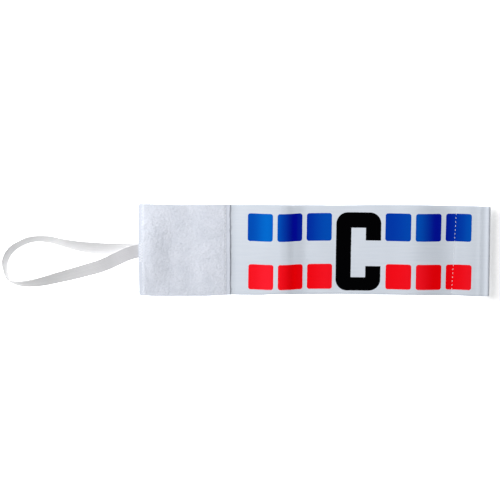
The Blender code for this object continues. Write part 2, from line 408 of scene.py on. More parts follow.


# %% [markdown]
# ## Knitted elastic and its print
#
# The band is warp-knitted elastic: covered rubber threads run along it about 1.2 mm apart, under a
# bright white polyester face, so it has fine lengthwise ribs, and its white leans to blue from the
# brightener. The ink is a soft film on top, slightly satin, with an edge that bleeds a little into
# the ribs. Each colour has its own screen, so the two rows sit a little out of register with the
# letter and with each other. The elastic was unevenly stretched on the printing table: the rows
# drift across the band and lean a little, and the left half came out shorter. Each ink also moves
# between a darker and a lighter copy along the cloth: painted shade where the waves turn away from
# the light, painted highlight where they face it.
#
# The pattern is twelve rounded squares in two rows and a block letter C, the common mark of a
# captain. Squares and letter are made of rounded boxes: the distance from a point to such a box is
# the length of max(|p| - half size, 0) less the corner's radius, which six vector nodes give. One
# box serves a whole row, because the cloth's lengthwise place is first folded at the letter's
# middle and then into cells.

# %% Sizes of the print, in millimetres on the flat cloth
PRINT_CENTRE_X = 0.0417
SQUARE_WIDTH = 23.95
SQUARE_PITCH = 28.23
SQUARE_CORNER = 2.4
LEFT_SHRINK = 1.0167
PRINT_SLANT = 0.0115
SQUARES_A_SIDE = 3
LETTER_WIDTH = 42.0
LETTER_HEIGHT = 73.7
LETTER_MIDDLE = -2.2
LETTER_CORNER = 10.8
LETTER_STEM = 14.2
LETTER_TOP_BAR = 14.5
LETTER_BOTTOM_BAR = 12.6
LETTER_TOP_ARM = 26.4
LETTER_BOTTOM_ARM = 23.2
LETTER_INNER_CORNER = 0.5
FIRST_SQUARE = LETTER_WIDTH / 2 + SQUARE_PITCH - SQUARE_WIDTH
# Each row's first colour is its ink in painted shade, the second the same ink with painted
# highlight.
PrintedRow = namedtuple("PrintedRow", "middle height shift thick thin")
PRINTED_ROWS = [
    PrintedRow(20.9, 26.0, -0.35, "#020A96", "#0468CB"),
    PrintedRow(-25.7, 23.7, 0.60, "#F40008", "#FF2030"),
]
# Along the cloth, in mm: how far each ink's colour goes from painted shade (0) to painted highlight
# (1).
PaintedLightRow = namedtuple("PaintedLightRow", "along thinness")
PAINTED_LIGHT_ROWS = [
    PaintedLightRow(-110, 0.45), PaintedLightRow(-97, 0.60), PaintedLightRow(-87, 1.00), PaintedLightRow(-80, 0.80),
    PaintedLightRow(-74, 0.45), PaintedLightRow(-62, 0.00), PaintedLightRow(-57, 0.05), PaintedLightRow(-48, 0.15),
    PaintedLightRow(-40, 0.32), PaintedLightRow(-28, 0.50), PaintedLightRow(25, 0.30), PaintedLightRow(35, 0.30),
    PaintedLightRow(48, 0.45), PaintedLightRow(57, 0.50), PaintedLightRow(68, 0.10), PaintedLightRow(76, 0.03),
    PaintedLightRow(89, 0.16), PaintedLightRow(99, 0.40), PaintedLightRow(105, 0.60),
]
DriftRow = namedtuple("DriftRow", "along drift")
DRIFT_ROWS = [
    DriftRow(-99, 0.40), DriftRow(-84, -0.40), DriftRow(-72, -0.70), DriftRow(-57, 0.20),
    DriftRow(-29, 0.60), DriftRow(30, 0.40), DriftRow(59, 0.10), DriftRow(74, 0.40),
    DriftRow(93, 0.90), DriftRow(115, 0.70),
]
BLACK_INK = "#020203"
INK_EDGE = 0.10
INK_BLEED = 0.16
BLEED_SCALE = 1.4
print("print starts", round(FIRST_SQUARE, 1), "mm from its middle")


# %% A rounded box as nodes
def box_distance(material, point, centre, size, corner):
    """Nodes for the distance, in mm, from the point to a rounded box. It is below 0 inside."""
    reach = (size[0] / 2 - corner, size[1] / 2 - corner, 1.0)
    steps = [
        ("SUBTRACT", {1: (*centre, 0.0)}), ("ABSOLUTE", {}), ("SUBTRACT", {1: reach}),
        ("MAXIMUM", {1: (0, 0, 0)}), ("LENGTH", {}),
    ]
    for operation, values in steps:
        node = add(material, "ShaderNodeVectorMath", values, {0: point}, operation=operation)
        point = node.outputs[0]
    node = add(
        material, "ShaderNodeMath", {1: corner}, {0: node.outputs["Value"]}, operation="SUBTRACT"
    )
    return node.outputs[0]


# %% The cloth under the ink
RIB_PITCH = 1.25 * MM
STREAK_SCALE = (25.0, 520.0, 1.0)
COURSE_SCALE = 900.0


def wave_scale(pitch):
    """The Scale of a wave texture whose bands are this far apart."""
    return math.pi / 10 / pitch


def knit(material, shader, base, streak, rib_depth):
    """Lengthwise ribs as bump and faint streaks. Returns the flat place and the colour."""
    flat_cloth = add(material, "ShaderNodeUVMap", uv_map="flat cloth").outputs["UV"]
    remapped = add(
        material, "ShaderNodeVectorMath", {1: STREAK_SCALE}, {0: flat_cloth}, operation="MULTIPLY"
    )
    streaks = add(
        material, "ShaderNodeTexNoise", {"Scale": 1.0, "Detail": 3.0, "Roughness": 0.6},
        {"Vector": remapped.outputs[0]}, noise_dimensions="2D",
    )
    colour = add(
        material, "ShaderNodeMix", {MIX_A: linear(base), MIX_B: linear(streak)},
        {0: streaks.outputs["Fac"]}, data_type="RGBA",
    )
    ribs = add(
        material, "ShaderNodeTexWave",
        {"Scale": wave_scale(RIB_PITCH), "Distortion": 0.6, "Detail": 1.0, "Detail Scale": 0.8},
        {"Vector": flat_cloth}, wave_type="BANDS", bands_direction="Y",
    )
    courses = add(
        material, "ShaderNodeTexNoise", {"Scale": COURSE_SCALE, "Detail": 1.0},
        {"Vector": flat_cloth}, noise_dimensions="2D",
    )
    both = add(
        material, "ShaderNodeMath", {1: 0.5}, {0: courses.outputs["Fac"], 2: ribs.outputs["Fac"]},
        operation="MULTIPLY_ADD",
    )
    bump = add(
        material, "ShaderNodeBump", {"Strength": 1.0, "Distance": rib_depth},
        {"Height": both.outputs[0]},
    )
    material.node_tree.links.new(bump.outputs["Normal"], shader.inputs["Normal"])
    return flat_cloth, colour.outputs[MIX_RESULT]


# %% Plain and printed knitted elastic
KNIT_WHITE = "#CED6E1"
KNIT_STREAK = "#D8DEE7"
PLAIN_RIB_DEPTH = 0.00010
PRINTED_RIB_DEPTH = 0.00006
plain_knit, plain_shader = new_material(
    "knitted elastic, polyester", KNIT_WHITE, roughness=0.75, sheen=0.1, specular=0.3
)
_, knit_colour = knit(plain_knit, plain_shader, KNIT_WHITE, KNIT_STREAK, PLAIN_RIB_DEPTH)
plain_knit.node_tree.links.new(knit_colour, plain_shader.inputs["Base Color"])

printed_knit, ink_shader = new_material(
    "screen printed knitted elastic", KNIT_WHITE, roughness=0.50, specular=0.45
)
flat_cloth, colour = knit(printed_knit, ink_shader, KNIT_WHITE, KNIT_STREAK, PRINTED_RIB_DEPTH)
in_mm = add(
    printed_knit, "ShaderNodeVectorMath", {"Scale": 1 / MM}, {0: flat_cloth}, operation="SCALE"
).outputs[0]
bleed = add(
    printed_knit, "ShaderNodeTexNoise", {"Scale": BLEED_SCALE, "Detail": 2.0}, {"Vector": in_mm},
    noise_dimensions="2D",
)
bleed = add(
    printed_knit, "ShaderNodeMapRange", {"To Min": -INK_BLEED, "To Max": INK_BLEED},
    {"Value": bleed.outputs["Fac"]},
).outputs["Result"]
print("knit's ribs, mm:", RIB_PITCH / MM)

# %% Folding the cloth's length into the squares' cells
apart = add(printed_knit, "ShaderNodeSeparateXYZ", feeds={0: in_mm})


def cell_place(shift):
    """Nodes that fold the cloth's length at the print's middle and then into the squares' cells."""
    moved = add(
        printed_knit, "ShaderNodeMath", {1: shift}, {0: apart.outputs[0]}, operation="SUBTRACT"
    )
    mirrored = add(
        printed_knit, "ShaderNodeMath", {1: -LEFT_SHRINK}, {0: moved.outputs[0]},
        operation="MULTIPLY",
    )
    from_middle = add(
        printed_knit, "ShaderNodeMath", feeds={0: moved.outputs[0], 1: mirrored.outputs[0]},
        operation="MAXIMUM",
    )
    from_first = add(
        printed_knit, "ShaderNodeMath", {1: FIRST_SQUARE}, {0: from_middle.outputs[0]},
        operation="SUBTRACT",
    )
    cell = add(
        printed_knit, "ShaderNodeMath", {1: SQUARE_PITCH}, {0: from_first.outputs[0]},
        operation="DIVIDE",
    )
    cell = add(printed_knit, "ShaderNodeMath", feeds={0: cell.outputs[0]}, operation="FLOOR")
    cell = add(
        printed_knit, "ShaderNodeClamp", {"Min": 0.0, "Max": SQUARES_A_SIDE - 1.0},
        {0: cell.outputs[0]},
    )
    in_cell = add(
        printed_knit, "ShaderNodeMath", {1: -SQUARE_PITCH},
        {0: cell.outputs[0], 2: from_first.outputs[0]}, operation="MULTIPLY_ADD",
    )
    place = add(
        printed_knit, "ShaderNodeCombineXYZ", feeds={0: in_cell.outputs[0], 1: apart.outputs[1]}
    )
    return place.outputs[0]


print("cells a side:", SQUARES_A_SIDE)

# %% Painted highlight and painted shade of the ink along the cloth
painted_light_from, painted_light_to = PAINTED_LIGHT_ROWS[0].along, PAINTED_LIGHT_ROWS[-1].along
painted_light_place = add(
    printed_knit, "ShaderNodeMapRange", {"From Min": painted_light_from, "From Max": painted_light_to},
    {"Value": apart.outputs[0]},
)
painted_light = add(printed_knit, "ShaderNodeValToRGB", feeds={"Fac": painted_light_place.outputs["Result"]})
painted_light.color_ramp.interpolation = "CARDINAL"
for row in PAINTED_LIGHT_ROWS[1:-1]:
    painted_light.color_ramp.elements.new((row.along - painted_light_from) / (painted_light_to - painted_light_from))
for element, row in zip(painted_light.color_ramp.elements, PAINTED_LIGHT_ROWS):
    element.color = (row.thinness, row.thinness, row.thinness, 1.0)
print("film rows:", len(PAINTED_LIGHT_ROWS))

# %% The two rows of squares
in_ink = {"From Min": INK_EDGE, "From Max": -INK_EDGE}
tint = None
for row in PRINTED_ROWS:
    distance = box_distance(
        printed_knit, cell_place(row.shift), (SQUARE_WIDTH / 2, row.middle),
        (SQUARE_WIDTH, row.height), SQUARE_CORNER,
    )
    bled = add(printed_knit, "ShaderNodeMath", feeds={0: distance, 1: bleed}, operation="ADD")
    mask = add(
        printed_knit, "ShaderNodeMapRange", in_ink, {"Value": bled.outputs[0]}
    ).outputs["Result"]
    # Painted light: the ink's colour moves between its shaded and its lit copy along the cloth.
    ink = add(
        printed_knit, "ShaderNodeMix", {MIX_A: linear(row.thick), MIX_B: linear(row.thin)},
        {0: painted_light.outputs["Color"]}, data_type="RGBA",
    ).outputs[MIX_RESULT]
    colour = add(
        printed_knit, "ShaderNodeMix", feeds={0: mask, MIX_A: colour, MIX_B: ink},
        data_type="RGBA",
    ).outputs[MIX_RESULT]
    under = {MIX_A: tint} if tint else {}
    tint = add(
        printed_knit, "ShaderNodeMix", {MIX_A: linear("#FFFFFF")}, {0: mask, MIX_B: ink, **under},
        data_type="RGBA",
    ).outputs[MIX_RESULT]
print("rows of squares:", len(PRINTED_ROWS))

# %% The letter C: a block less its counter and less the opening at its right
letter_place = add(
    printed_knit, "ShaderNodeVectorMath", {1: (0.0, LETTER_MIDDLE, 0.0)}, {0: in_mm},
    operation="SUBTRACT",
).outputs[0]
letter_top = LETTER_HEIGHT / 2
counter = (-letter_top + LETTER_BOTTOM_BAR, letter_top - LETTER_TOP_BAR)
opening = (-letter_top + LETTER_BOTTOM_ARM, letter_top - LETTER_TOP_ARM)
block = box_distance(
    printed_knit, letter_place, (0, 0), (LETTER_WIDTH, LETTER_HEIGHT), LETTER_CORNER
)
hollows = [
    box_distance(
        printed_knit, letter_place, (0, sum(counter) / 2),
        (LETTER_WIDTH - 2 * LETTER_STEM, counter[1] - counter[0]), LETTER_INNER_CORNER,
    ),
    box_distance(
        printed_knit, letter_place, (LETTER_WIDTH / 2, sum(opening) / 2),
        (LETTER_WIDTH, opening[1] - opening[0]), LETTER_INNER_CORNER,
    ),
]
hollow = add(
    printed_knit, "ShaderNodeMath", feeds={0: hollows[0], 1: hollows[1]}, operation="MINIMUM"
)
letter = add(
    printed_knit, "ShaderNodeMath", {1: -1.0}, {0: hollow.outputs[0]}, operation="MULTIPLY"
)
for operation, other in (("MAXIMUM", block), ("ADD", bleed)):
    letter = add(
        printed_knit, "ShaderNodeMath", feeds={0: letter.outputs[0], 1: other},
        operation=operation,
    )
mask = add(
    printed_knit, "ShaderNodeMapRange", in_ink, {"Value": letter.outputs[0]}
).outputs["Result"]
colour = add(
    printed_knit, "ShaderNodeMix", {MIX_B: linear(BLACK_INK)}, {0: mask, MIX_A: colour},
    data_type="RGBA",
).outputs[MIX_RESULT]
tint = add(
    printed_knit, "ShaderNodeMix", {MIX_B: linear("#000000")}, {0: mask, MIX_A: tint},
    data_type="RGBA",
).outputs[MIX_RESULT]
printed_knit.node_tree.links.new(colour, ink_shader.inputs["Base Color"])
printed_knit.node_tree.links.new(tint, ink_shader.inputs["Specular Tint"])
print("print nodes:", len(printed_knit.node_tree.nodes))

# %% [markdown]
# ## The band
#
# The band is one sheet that runs from the left end along the top, round the fold at the right end
# and back under as the hem. Its middle line is a list of points seen from the side, a millimetre
# apart. To the CAD curves come what stitching does to cloth: a small valley at the seam of the
# hem, a ridge over the hook tape's stitching, a lip where the thick elastic is forced round the
# fold, and slight waviness.

# %% The band's middle line, seen from the side
BAND_STATION = 0.0010
FOLD_SEGMENTS = 14
SEAM_TOP_X = 0.1330
SEAM_BOTTOM_X = 0.1292
SEAM_DEPTH = 0.00014
SEAM_HALF = 0.0016
LIP_HEIGHT = 0.00045
LIP_RUN = 0.0036
RIDGE_X = 0.1548
RIDGE_HEIGHT = 0.00022
RIDGE_HALF = 0.0019
FLEECE_LIP = 0.00022
FLEECE_LIP_RUN = 0.006
WAVER_HEIGHT = 0.00010
WAVER_LONG, WAVER_WIDE, WAVER_SEED = 0.013, 0.021, 0.3
WAVER_RUN = 0.01
FOLD_RUN = 0.004
# The stations stand close together where the left corners are rounded.
corner_xs = [BAND_LEFT + CORNER_RADIUS * share for share in (0.0, 0.05, 0.18)]


def seam_x(y):
    """The hem's stitch line slants a little."""
    share = (y - band_middle(SEAM_TOP_X)) / BAND_WIDTH + 0.5
    return SEAM_BOTTOM_X + (SEAM_TOP_X - SEAM_BOTTOM_X) * share


def bell(distance, half):
    return math.exp(-(distance / half) ** 2)


def sewn_relief(x, y):
    """What the stitching and the fold add to the band's height."""
    seam = -SEAM_DEPTH * bell(x - seam_x(y), SEAM_HALF)
    ridge = RIDGE_HEIGHT * bell(x - RIDGE_X, RIDGE_HALF)
    from_fleece = x - BAND_LEFT - FLEECE_LENGTH
    lip = FLEECE_LIP * ease(1 - abs(from_fleece) / FLEECE_LIP_RUN)
    waver = noise.noise(Vector((x / WAVER_LONG, y / WAVER_WIDE, WAVER_SEED)))
    return seam + ridge + lip + WAVER_HEIGHT * waver * ease(from_fleece / WAVER_RUN)


def band_path():
    """The middle line and how much of the sewn relief each point takes."""
    rise = HOOK_WALL + SEWN_GAP + BAND_WALL / 2
    low = rise + hem_lift(BAND_RIGHT)
    high = band_underside(BAND_RIGHT) + BAND_WALL / 2 + LIP_HEIGHT
    radius = (high - low) / 2
    fold_x = BAND_RIGHT - BAND_WALL / 2 - radius
    count = round((fold_x - BAND_LEFT) / BAND_STATION)
    xs = corner_xs + [BAND_LEFT + (fold_x - BAND_LEFT) * i / count for i in range(1, count + 1)]
    path = []
    for x in xs:
        lip = LIP_HEIGHT * ease((x - fold_x + LIP_RUN) / LIP_RUN)
        path.append((x, band_underside(x) + BAND_WALL / 2 + lip, ease((fold_x - x) / FOLD_RUN)))
    path[-1] = (fold_x, high, 0.0)
    for i in range(1, FOLD_SEGMENTS):
        angle = math.pi * i / FOLD_SEGMENTS
        path.append(
            (fold_x + radius * math.sin(angle), low + radius + radius * math.cos(angle), 0.0)
        )
    count = round((fold_x - HEM_START) / BAND_STATION)
    xs = [fold_x + (HEM_START - fold_x) * i / count for i in range(count + 1)]
    return path + [(x, rise + hem_lift(x), 0.0) for x in xs]


path = band_path()
walked = [0.0]
for before, after in zip(path, path[1:]):
    walked.append(walked[-1] + math.hypot(after[0] - before[0], after[1] - before[1]))
print_start = min(range(len(path)), key=lambda i: abs(path[i][0] - PRINT_CENTRE_X))
print_middle = walked[print_start] + PRINT_CENTRE_X - path[print_start][0]
print("cloth of the band, mm:", round(walked[-1] / MM, 1))
print("print's middle along it, mm:", round(print_middle / MM, 1))


# %% The printed band
BAND_CELLS_ACROSS = 40


def place_band(column, side):
    x, z, relief = path[column]
    across = side * band_half_width(x)
    y = band_middle(x) + across
    point = Vector((x, y, z + relief * sewn_relief(x, y)))
    along = walked[column] - print_middle
    drift = read_rows(DRIFT_ROWS, "drift", along / MM) * MM
    return point, (along - PRINT_SLANT * across, across - drift), 1.0


printed_band = sheet_of_cloth(
    "printed_band", len(path) - 1, BAND_CELLS_ACROSS, place_band, BAND_WALL,
    [printed_knit, plain_knit],
)
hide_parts("band")

# %% [markdown]
# ## The fleece patch
#
# The loop half of a soft fastening is a knitted ground whose loops have been brushed into a
# fleece. Its two woven edges have no loops. The ground is a sheet laid on the band with its
# underside where the CAD's is, so the wall grows upwards only: thin at the woven edges, full under
# the pile and lumpy with it. The strap's two ends lift it at the left.

# %% The fleece's ground
FLEECE_STEP = 0.0006
GROUND_WALL = 0.0014
SELVAGE = 0.0042
SELVAGE_SHARE = 0.68
PILE_SHARE = 0.92
PILE_BORDER = 0.0030
BORDER_SWAY = 0.0005
SWAY_LONG, SWAY_WIDE, SWAY_SEED = 0.05, 0.004, 7.7
Lumps = namedtuple("Lumps", "share long wide seed")
LUMPS = [Lumps(0.10, 0.0021, 0.0017, 1.5), Lumps(0.06, 0.0060, 0.0034, 4.5)]
FRAY = 0.00060
FRAY_CURLS, FRAY_SEED = 17, (0.4, 2.2)
FLEECE_CELLS_ACROSS = 136
fleece_columns = round(FLEECE_LENGTH / FLEECE_STEP)
fleece_xs = corner_xs + [BAND_LEFT + FLEECE_STEP * i for i in range(1, fleece_columns)]
fleece_xs.append(BAND_LEFT + FLEECE_LENGTH)


def fleece_bottom(x, y):
    return band_underside(x) + BAND_WALL + SEWN_GAP + tent(x, y)


def pile_share(x, y):
    """0 on the woven edges and 1 under the pile, with a slightly uneven border."""
    sway = BORDER_SWAY * noise.noise(Vector((x / SWAY_LONG, y / SWAY_WIDE, SWAY_SEED)))
    from_left = x - BAND_LEFT - SELVAGE
    from_right = BAND_LEFT + FLEECE_LENGTH - SELVAGE - x
    return ease(0.5 + (min(from_left, from_right) + sway) / PILE_BORDER)


def ground_share(x, y):
    """The share of the wall: least at the woven edges, lumpy under the pile."""
    lumps = sum(
        row.share * noise.noise(Vector((x / row.long, y / row.wide, row.seed))) for row in LUMPS
    )
    return SELVAGE_SHARE + (PILE_SHARE - SELVAGE_SHARE + lumps) * pile_share(x, y)


def fleece_top(x, y):
    return fleece_bottom(x, y) + GROUND_WALL * ground_share(x, y)


def place_fleece(column, side):
    x = fleece_xs[column]
    y = band_middle(x) + side * band_half_width(x)
    fray = 0.0
    if column == len(fleece_xs) - 1:
        fray = FRAY * noise.noise(Vector((side * FRAY_CURLS, *FRAY_SEED)))
    return Vector((x + fray, y, fleece_bottom(x, y))), (x, y), ground_share(x, y)


print("fleece ground's columns:", len(fleece_xs))


# %% Brushed nylon
TUFT_SCALE = 420.0
CLOUD_SCALE = 90.0
TUFT_DEPTH = 0.0003
WOVEN_FROM = FLEECE_LENGTH / 2 - SELVAGE
WOVEN_FADE = 0.0005
WOVEN_SHADE = "#C8CDD8"


def brushed(name, shade, light, sheen):
    """Nylon loops: mottled where the brush has parted them, with a soft sheen."""
    material, shader = new_material(name, shade, roughness=0.9, sheen=sheen, specular=0.2)
    place = add(material, "ShaderNodeTexCoord").outputs["Object"]
    tufts = add(
        material, "ShaderNodeTexNoise", {"Scale": TUFT_SCALE, "Detail": 4.0, "Roughness": 0.65},
        {"Vector": place},
    )
    clouds = add(
        material, "ShaderNodeTexNoise", {"Scale": CLOUD_SCALE, "Detail": 2.0}, {"Vector": place}
    )
    mottle = add(
        material, "ShaderNodeMath", feeds={0: tufts.outputs["Fac"], 1: clouds.outputs["Fac"]},
        operation="ADD",
    )
    mottle = add(
        material, "ShaderNodeMapRange", {"From Min": 0.5, "From Max": 1.5},
        {"Value": mottle.outputs[0]},
    )
    colour = add(
        material, "ShaderNodeMix", {MIX_A: linear(shade), MIX_B: linear(light)},
        {0: mottle.outputs["Result"]}, data_type="RGBA",
    )
    from_middle = add(material, "ShaderNodeSeparateXYZ", feeds={0: place}).outputs["X"]
    from_middle = add(
        material, "ShaderNodeMath", {1: BAND_LEFT + FLEECE_LENGTH / 2}, {0: from_middle},
        operation="SUBTRACT",
    ).outputs[0]
    from_middle = add(
        material, "ShaderNodeMath", feeds={0: from_middle}, operation="ABSOLUTE"
    ).outputs[0]
    woven_share = add(
        material, "ShaderNodeMapRange",
        {"From Min": WOVEN_FROM, "From Max": WOVEN_FROM + WOVEN_FADE}, {"Value": from_middle},
    )
    colour = add(
        material, "ShaderNodeMix", {MIX_B: linear(WOVEN_SHADE)},
        {0: woven_share.outputs["Result"], MIX_A: colour.outputs[MIX_RESULT]}, data_type="RGBA",
    )
    bump = add(
        material, "ShaderNodeBump", {"Strength": 1.0, "Distance": TUFT_DEPTH},
        {"Height": tufts.outputs["Fac"]},
    )
    material.node_tree.links.new(colour.outputs[MIX_RESULT], shader.inputs["Base Color"])
    material.node_tree.links.new(bump.outputs["Normal"], shader.inputs["Normal"])
    return material


brushed_nylon = brushed("brushed nylon ground", "#C7CCD6", "#DBDEE7", sheen=0.2)
fleece_ground = sheet_of_cloth(
    "fleece_ground", len(fleece_xs) - 1, FLEECE_CELLS_ACROSS, place_fleece, GROUND_WALL,
    [brushed_nylon], offset=1.0, rounding=0.2,
)
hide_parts("fleece_patch")

# %% [markdown]
# ## The pile
#
# The pile is thousands of nylon loops. One loop is a three-sided thread, spun half a turn into an
# arch and pressed flat. Copies of it, turned and leaned at random, stand over the ground on an
# uneven grid. Real loops are finer, about 0.04 mm, so these stand for small bundles that still
# show at this size.

# %% One loop of the pile
LOOP_THREAD = 0.00006
LOOP_HALF_SPAN = 0.00075
LOOP_FLATTEN = 0.62


def thread_arch(sides, radius, span, turn, steps, flatten):
    """A thread bent into an arch that stands on the table, as a mesh with closed ends."""
    bm = bmesh.new()
    bmesh.ops.create_circle(
        bm, cap_ends=True, segments=sides, radius=radius, matrix=Matrix.Translation((span, 0, 0))
    )
    bmesh.ops.spin(
        bm, geom=bm.verts[:] + bm.edges[:] + bm.faces[:], cent=(0, 0, 0), axis=(0, -1, 0),
        angle=turn, steps=steps, use_duplicate=False,
    )
    rims = [edge for edge in bm.edges if edge.is_boundary]
    bmesh.ops.holes_fill(bm, edges=rims, sides=sides)
    bmesh.ops.scale(bm, verts=bm.verts, vec=(1, 1, flatten))
    bmesh.ops.recalc_face_normals(bm, faces=bm.faces)
    mesh = bpy.data.meshes.new("thread arch")
    bm.to_mesh(mesh)
    bm.free()
    return mesh


def strewn(name, template, matrices, material):
    """Copies of the template at each matrix, as one piece."""
    bm = bmesh.new()
    for matrix in matrices:
        copy = template.copy()
        copy.transform(matrix)
        bm.from_mesh(copy)
        bpy.data.meshes.remove(copy)
    piece = object_from(bm, name, [material])
    piece.data.shade_smooth()
    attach(piece, "root")
    print(name, "copies:", len(matrices), "faces:", len(piece.data.polygons))
    return piece


# %% Strewing the pile
PILE_STEP = 0.00098
PILE_INSET = 0.0006
PILE_SINK = 0.00012
PILE_TURN = 0.75
PILE_LEAN = 0.8
PILE_LENGTHS = (0.7, 1.5)
PILE_HEIGHTS = (0.6, 1.15)
draw = random.Random(11)
loop_arch = thread_arch(
    sides=3, radius=LOOP_THREAD, span=LOOP_HALF_SPAN, turn=math.pi, steps=4, flatten=LOOP_FLATTEN
)
pile_places = []
pile_columns = round((FLEECE_LENGTH - 2 * SELVAGE) / PILE_STEP)
pile_rows = round(BAND_WIDTH / PILE_STEP)
for i in range(pile_columns):
    for k in range(pile_rows):
        x = BAND_LEFT + SELVAGE + (i + draw.random()) * PILE_STEP
        side = 2 * (k + draw.random()) / pile_rows - 1
        y = band_middle(x) + side * (band_half_width(x) - PILE_INSET)
        if pile_share(x, y) < 0.5:
            continue
        place = Matrix.Translation((x, y, fleece_top(x, y) - PILE_SINK))
        place @= Matrix.Rotation(draw.gauss(0.0, PILE_TURN), 4, "Z")
        place @= Matrix.Rotation(draw.uniform(-PILE_LEAN, PILE_LEAN), 4, "X")
        place @= Matrix.Diagonal((draw.uniform(*PILE_LENGTHS), 1, draw.uniform(*PILE_HEIGHTS), 1))
        pile_places.append(place)
nylon_loops = brushed("brushed nylon loops", "#CED2DB", "#E1E4EB", sheen=0.3)
fleece_pile = strewn("fleece_pile", loop_arch, pile_places, nylon_loops)

# %% [markdown]
# ## The hook patch
#
# The hook half is hidden under the hem, with its hooks down. It is a stiff nylon tape with rows of
# small hooks, each a bit of thick nylon thread that stands up and turns over.

# %% The hook tape and its hooks
HOOK_GROUND = 0.0006
HOOK_RADIUS = 0.00011
HOOK_SPAN = 0.00032
HOOK_STEP_X = 0.0016
HOOK_STEP_Y = 0.0018
HOOK_TURN = math.radians(230)
HOOK_STRETCH = 1.35
HOOK_SINK = 0.0002
FIRST_HOOK_X, FIRST_HOOK_Y = 0.0014, 0.0016
HOOKLESS = 0.002
HOOK_CELLS_LONG, HOOK_CELLS_ACROSS = 20, 40
hook_end = BAND_RIGHT - HOOK_MARGIN - BAND_WALL


def place_hook_tape(column, side):
    x = hook_end - HOOK_LENGTH * (1 - column / HOOK_CELLS_LONG)
    y = band_middle(x) + side * (band_half_width(x) - HOOK_MARGIN)
    return Vector((x, y, HOOK_WALL - HOOK_GROUND / 2 + hem_lift(x))), (x, y), 1.0


woven_nylon, _ = new_material("woven nylon tape", "#DADCE2", roughness=0.6)
hook_ground = sheet_of_cloth(
    "hook_ground", HOOK_CELLS_LONG, HOOK_CELLS_ACROSS, place_hook_tape, HOOK_GROUND, [woven_nylon]
)
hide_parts("hook_patch")
hook_arch = thread_arch(
    sides=4, radius=HOOK_RADIUS, span=HOOK_SPAN, turn=HOOK_TURN, steps=6, flatten=HOOK_STRETCH
)
hook_places = []
for i in range(int((HOOK_LENGTH - HOOKLESS) / HOOK_STEP_X)):
    for k in range(int((BAND_WIDTH - 2 * HOOK_MARGIN - HOOKLESS) / HOOK_STEP_Y)):
        x = hook_end - FIRST_HOOK_X - HOOK_STEP_X * i
        y = band_middle(x) - BAND_WIDTH / 2 + HOOK_MARGIN + FIRST_HOOK_Y + HOOK_STEP_Y * k
        turned = Matrix.Rotation(math.pi, 4, "X") @ Matrix.Rotation((i + k) % 2 * math.pi, 4, "Z")
        z = HOOK_WALL - HOOK_GROUND - HOOK_SINK + hem_lift(x)
        hook_places.append(Matrix.Translation((x, y, z)) @ turned)
hooks_nylon, _ = new_material("moulded nylon hooks", "#E0E1E6", roughness=0.35)
hook_rows = strewn("hook_rows", hook_arch, hook_places, hooks_nylon)

# %% [markdown]
# ## The strap
#
# The narrow strap is half-inch braided elastic: nine lengthwise ribs, each a rubber thread under
# the braid. It leaves the band flat, leans over more and more along the rear strand, stands on
# edge at the far end and comes back on its other face. The sheet follows its middle surface, and
# the wall share that falls between the ribs makes them on both faces at once. Near its front end
# the braid's colour turns greyer: painted shade on the strand where it nears the band.


# %% A smooth curve through the strap's rows
FINE_STEPS = 16


def curve_through(points, spacing):
    """Places on a smooth curve through the points, evenly spaced along it, and its length."""
    fine = []
    for i in range(len(points) - 1):
        p0, p1, p2, p3 = (points[min(max(i + k, 0), len(points) - 1)] for k in (-1, 0, 1, 2))
        for k in range(FINE_STEPS):
            t = k / FINE_STEPS
            fine.append([
                0.5 * (2 * b + (c - a) * t + (2 * a - 5 * b + 4 * c - d) * t ** 2
                       + (3 * b - a - 3 * c + d) * t ** 3)
                for a, b, c, d in zip(p0, p1, p2, p3)
            ])
    fine.append(list(points[-1]))
    lengths = [0.0]
    for a, b in zip(fine, fine[1:]):
        lengths.append(lengths[-1] + math.hypot(b[0] - a[0], b[1] - a[1]))
    count = round(lengths[-1] / spacing)
    even = []
    k = 0
    for i in range(count + 1):
        along = lengths[-1] * i / count
        while k < len(lengths) - 2 and lengths[k + 1] < along:
            k += 1
        t = (along - lengths[k]) / (lengths[k + 1] - lengths[k])
        even.append([a + (b - a) * t for a, b in zip(fine[k], fine[k + 1])])
    return even, lengths[-1]


# %% The strap's centre and width direction at each station
STRAP_STATION = 0.0012
tuck = -STRAP_TUCK / LOOP_REACH
strap_rows = [LOOP_ROWS[0]._replace(along=tuck), *LOOP_ROWS, LOOP_ROWS[-1]._replace(along=tuck)]
strap_points = [
    (BAND_LEFT - row.along * LOOP_REACH, row.across * LOOP_SPREAD, row.lean, row.lift * STRAP_WIDTH)
    for row in strap_rows
]
strap_line, strap_length = curve_through(strap_points, STRAP_STATION)
strap_places = []
for i, (x, y, lean, lift) in enumerate(strap_line):
    before = strap_line[max(i - 1, 0)]
    after = strap_line[min(i + 1, len(strap_line) - 1)]
    heading = Vector((after[0] - before[0], after[1] - before[1], 0.0)).normalized()
    outward = heading.cross(Vector((0.0, 0.0, 1.0)))
    layer = 0 if i < len(strap_line) / 2 else 1
    lift = max(lift, 0.0)
    flat_lean = 180 * layer
    angle = math.radians(flat_lean + (lean - flat_lean) * ease((BAND_LEFT - x) / LOOP_FLAT))
    width = outward * math.cos(angle) + Vector((0.0, 0.0, math.sin(angle)))
    free = STRAP_WIDTH / 2 * abs(math.sin(angle)) + STRAP_WALL / 2 * abs(math.cos(angle))
    free += TABLE_GAP + lift
    sewn_in = band_underside(x) + BAND_WALL + SEWN_GAP + STRAP_WALL / 2
    sewn_in += layer * (STRAP_WALL + SEWN_GAP)
    out = ease((BAND_LEFT - x) / LOOP_RAMP)
    z = sewn_in + (free - sewn_in) * out + lift * (1 - out)
    strap_places.append((Vector((x, y, z)), width))
print("strap, mm:", round(strap_length / MM, 1), "stations:", len(strap_places))

